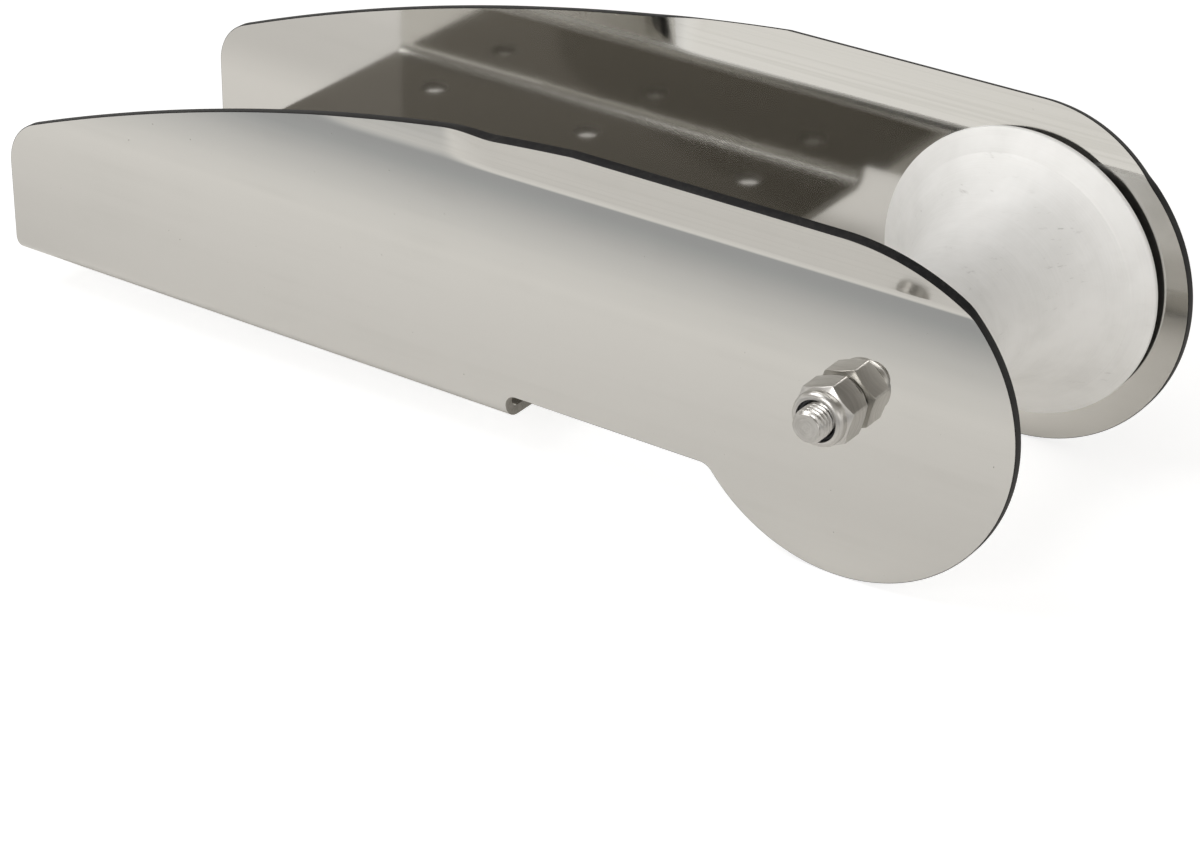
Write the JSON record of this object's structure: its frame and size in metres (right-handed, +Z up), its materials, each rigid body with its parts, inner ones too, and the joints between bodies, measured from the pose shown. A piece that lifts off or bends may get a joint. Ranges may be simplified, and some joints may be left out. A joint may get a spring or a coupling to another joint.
{
  "type": "bow roller",
  "caption": "Folded stainless channel with flared, round-nosed cheeks that carries a deeply grooved roller on a sleeved axle bolt, for leading an anchor chain over a bow.",
  "frame": {"origin": "middle of the flat underside of the base, where it rests on the deck", "axes": "+X forward along the channel over the bow, +Z up out of the deck, the nut on the -Y side"},
  "size_m": [0.3605, 0.1341, 0.1071],
  "materials": {
    "polished_stainless": "mirror-polished stainless sheet with fine rolling streaks",
    "satin_alloy": "satin turned aluminium with light scuffs",
    "fastener_steel": "satin stainless",
    "bearing_polymer": "plain bearing polymer",
    "lock_insert": "dark nylon"
  },
  "bodies": {
    "bracket": {"channel": "polished_stainless", "axle_sleeve": "fastener_steel", "axle_bolt": "fastener_steel", "head_washer": "fastener_steel", "lock_nut": "fastener_steel", "lock_nut_insert": "lock_insert"},
    "roller_set": {"roller": "satin_alloy", "near_bush": "bearing_polymer", "far_bush": "bearing_polymer"}
  },
  "joints": [
    {"name": "roller_spin", "type": "hinge", "parent": "bracket", "child": "roller_set", "pos_m": [0.2098, 0, 0.0422], "axis": [0, 1, 0], "continuous": true}
  ]
}
